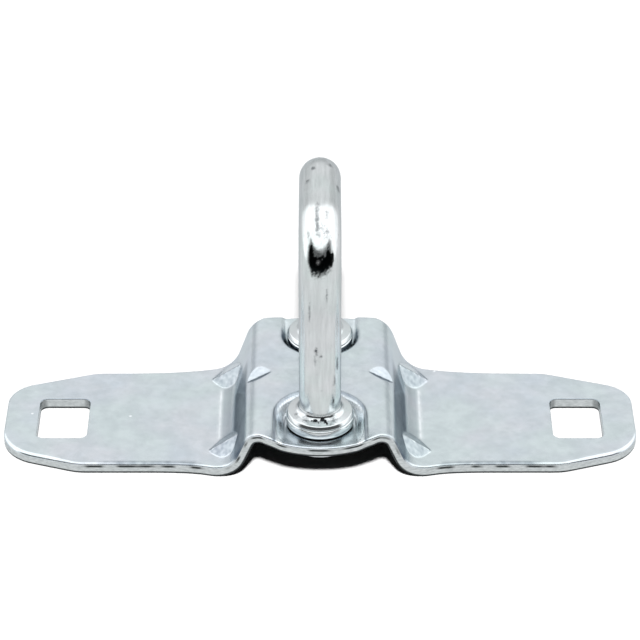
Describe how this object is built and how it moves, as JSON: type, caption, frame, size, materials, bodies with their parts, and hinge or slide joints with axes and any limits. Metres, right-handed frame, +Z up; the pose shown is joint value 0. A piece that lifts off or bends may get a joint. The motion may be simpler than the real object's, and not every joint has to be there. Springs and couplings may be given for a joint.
{
  "type": "roof anchor",
  "caption": "Pressed steel plate with two slotted wings and a raised hat that carries an upright U-shaped staple for hooking on to.",
  "frame": {"origin": "centre of the plate in plan, level with the undersides of the two wings", "axes": "+X along the plate from wing to wing, +Y from the front leg of the staple to the rear leg, +Z up towards the top of the staple"},
  "size_m": [0.1544, 0.0582, 0.0693],
  "materials": {
    "plate_zinc": "bright zinc plate on pressed sheet, pale silver with a faint blue and green tint",
    "bar_zinc": "bright zinc plate on drawn round bar, glossy, with handling scratches",
    "ring_zinc": "bright zinc plate on turned and upset rings"
  },
  "bodies": {
    "root": {"base_plate": "plate_zinc", "staple_bar": "bar_zinc", "front_seat_ring": "ring_zinc", "front_collar": "ring_zinc", "rear_seat_ring": "ring_zinc", "rear_collar": "ring_zinc"}
  },
  "joints": []
}
